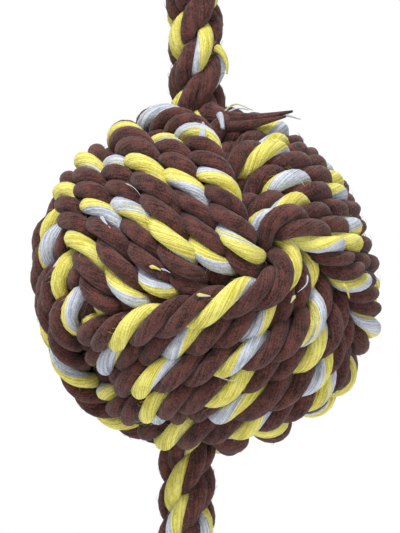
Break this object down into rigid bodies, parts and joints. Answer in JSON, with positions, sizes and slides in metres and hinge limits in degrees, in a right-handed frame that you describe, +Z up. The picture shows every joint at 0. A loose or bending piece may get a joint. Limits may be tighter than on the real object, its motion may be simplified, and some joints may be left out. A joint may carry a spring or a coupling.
{
  "type": "rope dog toy",
  "caption": "Laid cotton tug rope with a wound rope ball on its middle, knotted and frayed at both ends.",
  "frame": {"origin": "middle of the upper knot, where the toy is held up", "axes": "+Z up along the toy's length, -Y towards the picture's camera, +X to the right in the picture"},
  "size_m": [0.0887, 0.0915, 0.4025],
  "materials": {
    "brown_cotton": "matte laid cotton rope, brown, with yellow and grey strands",
    "frayed_cotton": "matte unlaid cotton yarns, brown, yellow and grey",
    "core_filling": "matte packed cotton"
  },
  "bodies": {
    "upper_end": {"upper_tail": "brown_cotton", "upper_knot": "brown_cotton", "upper_tassel": "frayed_cotton", "upper_neck": "brown_cotton"},
    "ball": {"ball_winding": "brown_cotton", "core_ball": "core_filling", "through_rope": "brown_cotton"},
    "lower_end": {"lower_tail": "brown_cotton", "lower_knot": "brown_cotton", "lower_tassel": "frayed_cotton", "lower_neck": "brown_cotton"}
  },
  "joints": [
    {"name": "upper_bend", "type": "hinge", "parent": "upper_end", "child": "ball", "pos_m": [0.00552, 0, -0.05733], "axis": [0, 1, 0], "range_deg": [-60, 60], "deforming": ["upper_neck"]},
    {"name": "lower_bend", "type": "hinge", "parent": "ball", "child": "lower_end", "pos_m": [0.00252, 0, -0.17533], "axis": [0, 1, 0], "range_deg": [-60, 60], "deforming": ["lower_neck"]}
  ]
}
